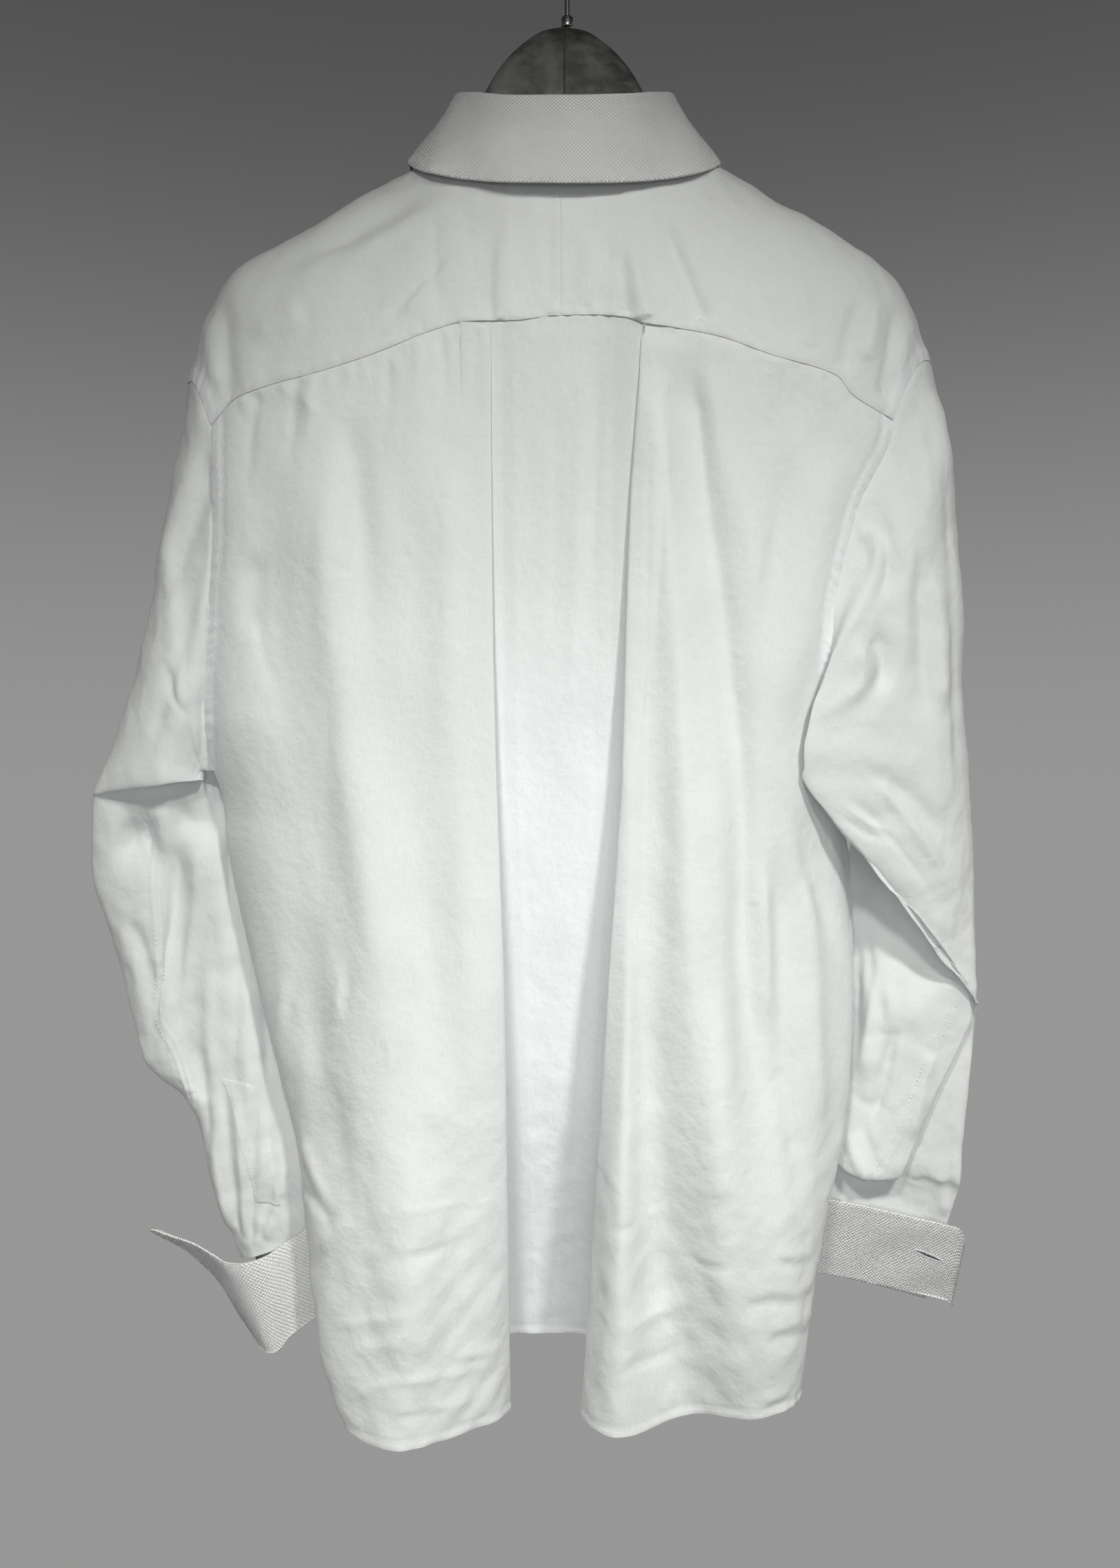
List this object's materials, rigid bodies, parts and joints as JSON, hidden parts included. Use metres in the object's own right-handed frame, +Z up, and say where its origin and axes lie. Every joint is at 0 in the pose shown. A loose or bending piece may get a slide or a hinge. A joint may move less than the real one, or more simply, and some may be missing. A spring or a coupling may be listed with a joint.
{
  "type": "long sleeve dress shirt on a hanger",
  "caption": "Long sleeve dress shirt with a turned-down collar, split yoke, deep back pleats and turned-back double cuffs, hung on a broad black hanger.",
  "frame": {"origin": "inside top of the hanger's hook, where it rests on a rail", "axes": "+Z up, +Y towards the shirt's front, +X towards the wearer's right, so the back looks along -Y"},
  "size_m": [0.5953, 0.1678, 0.9981],
  "materials": {
    "white_poplin": "plain fine poplin, matt",
    "white_pique": "small diamond pique, matt",
    "pearl_button": "pearly, smooth",
    "black_hanger": "charcoal black, lightly scuffed",
    "hook_steel": "bright steel wire"
  },
  "bodies": {
    "root": {"back_panel": "white_poplin", "yoke_left": "white_poplin", "yoke_right": "white_poplin", "front_left": "white_poplin", "front_right": "white_poplin", "placket": "white_poplin", "sleeve_left": "white_poplin", "sleeve_right": "white_poplin", "sleeve_placket_left": "white_poplin", "sleeve_placket_right": "white_poplin", "collar_stand": "white_pique", "collar_leaf": "white_pique", "cuff_left": "white_pique", "cuff_right": "white_pique", "button_collar": "pearl_button", "button_1": "pearl_button", "button_2": "pearl_button", "button_3": "pearl_button", "button_4": "pearl_button", "button_5": "pearl_button", "button_6": "pearl_button", "hanger_body": "black_hanger", "hanger_ferrule": "hook_steel", "hanger_hook": "hook_steel"}
  },
  "joints": []
}
